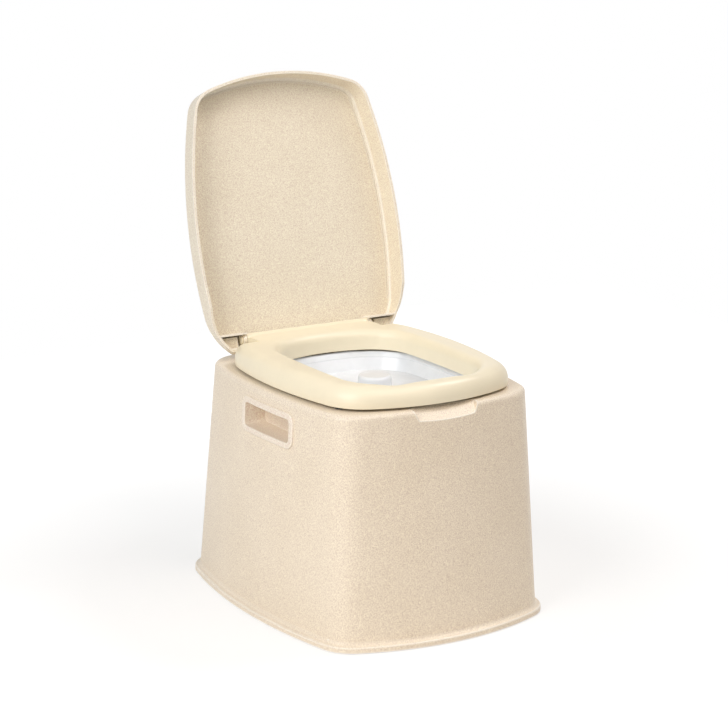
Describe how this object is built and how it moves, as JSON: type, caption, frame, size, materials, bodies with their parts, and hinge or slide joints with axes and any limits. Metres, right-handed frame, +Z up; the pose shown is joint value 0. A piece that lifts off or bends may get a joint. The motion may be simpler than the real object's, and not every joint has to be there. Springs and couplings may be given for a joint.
{
  "type": "portable commode",
  "caption": "Portable commode: flared moulded body with carrying grips, lift-up ring seat, dished lid and a lidded bucket hanging in the deck.",
  "frame": {"origin": "bottom centre of the bounding box, on the floor under the middle of the part with its lid open", "axes": "+Z up, -Y towards the front of the seat, +X to the left of a person seated on it"},
  "size_m": [0.41, 0.5508, 0.753],
  "materials": {
    "body_plastic": "fine grain",
    "lid_plastic": "fine grain",
    "seat_plastic": "satin",
    "white_plastic": "gloss",
    "handle_wire": "satin",
    "rubber": "matte"
  },
  "bodies": {
    "body": {"body_shell": "body_plastic", "left_grip_cup": "body_plastic", "right_grip_cup": "body_plastic", "right_hinge_pin": "seat_plastic", "left_hinge_pin": "seat_plastic", "front_left_foot": "rubber", "front_right_foot": "rubber", "rear_left_foot": "rubber", "rear_right_foot": "rubber"},
    "seat": {"seat": "seat_plastic", "front_left_seat_bumper": "rubber", "front_right_seat_bumper": "rubber", "rear_left_seat_bumper": "rubber", "rear_right_seat_bumper": "rubber"},
    "lid": {"lid": "lid_plastic"},
    "bucket": {"bucket": "white_plastic"},
    "handle": {"bucket_handle": "handle_wire", "bucket_handle_grip": "white_plastic"},
    "bucket_lid": {"bucket_lid": "white_plastic"}
  },
  "joints": [
    {"name": "seat_hinge", "type": "hinge", "parent": "body", "child": "seat", "pos_m": [0, 0.16024, 0.363], "axis": [-1, 0, 0], "range_deg": [0, 90]},
    {"name": "lid_hinge", "type": "hinge", "parent": "seat", "child": "lid", "pos_m": [0, 0.16024, 0.363], "axis": [1, 0, 0], "range_deg": [0, 105.3]},
    {"name": "bucket_lift", "type": "slide", "parent": "body", "child": "bucket", "axis": [0, 0, 1], "range_m": [0, 0.002]},
    {"name": "bucket_lid_lift", "type": "slide", "parent": "bucket", "child": "bucket_lid", "axis": [0, 0, 1], "range_m": [0, 0.0015]},
    {"name": "handle_swing", "type": "hinge", "parent": "bucket", "child": "handle", "pos_m": [0, -0.04236, 0.3381], "axis": [-1, 0, 0], "range_deg": [0, 2.5]}
  ]
}
